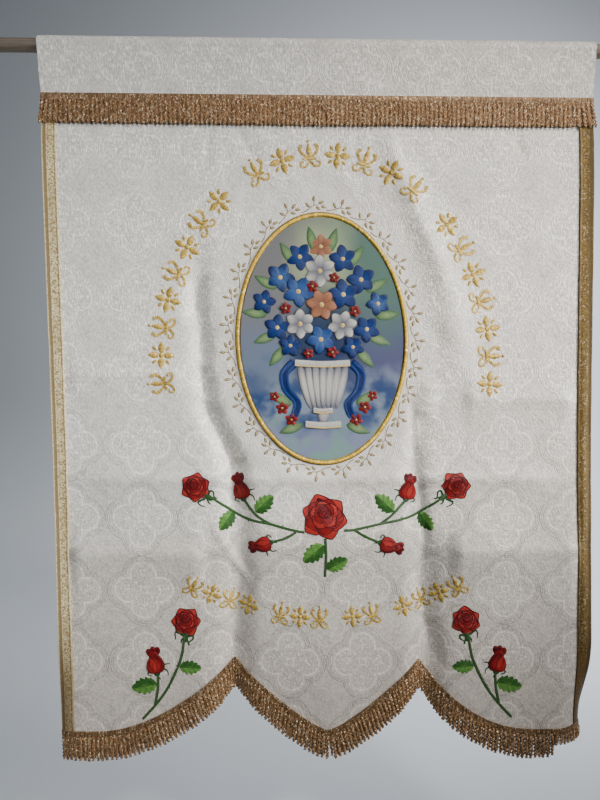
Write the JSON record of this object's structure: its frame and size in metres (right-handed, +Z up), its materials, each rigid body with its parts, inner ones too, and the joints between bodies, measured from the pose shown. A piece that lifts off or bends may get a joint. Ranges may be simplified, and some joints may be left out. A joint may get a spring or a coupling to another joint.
{
  "type": "church banner and rod",
  "caption": "White damask church banner with a scalloped hem, bullion fringe, gold braid and an oval medallion, hung by its heading sleeve on a plain wooden rod.",
  "frame": {"origin": "middle of the rod's axis", "axes": "+X along the rod, -Y out of the banner's front, +Z up"},
  "size_m": [1.05, 0.0432, 1.1308],
  "materials": {
    "damask": "white on white damask with a satin sheen",
    "rod_wood": "plain turned wood, stained grey brown",
    "bullion_fringe": "twisted metallic thread, copper gold",
    "gold_braid": "woven metallic galloon, bright gold",
    "gold_thread": "satin stitch in shining gold thread",
    "coloured_silk": "coloured silk cloth and embroidery thread"
  },
  "bodies": {
    "root": {"rod": "rod_wood", "heading_sleeve": "damask", "panel": "damask", "top_fringe": "bullion_fringe", "hem_fringe": "bullion_fringe", "braid_left": "gold_braid", "braid_right": "gold_braid", "medallion_panel": "coloured_silk", "medallion_border": "gold_thread"}
  },
  "joints": []
}
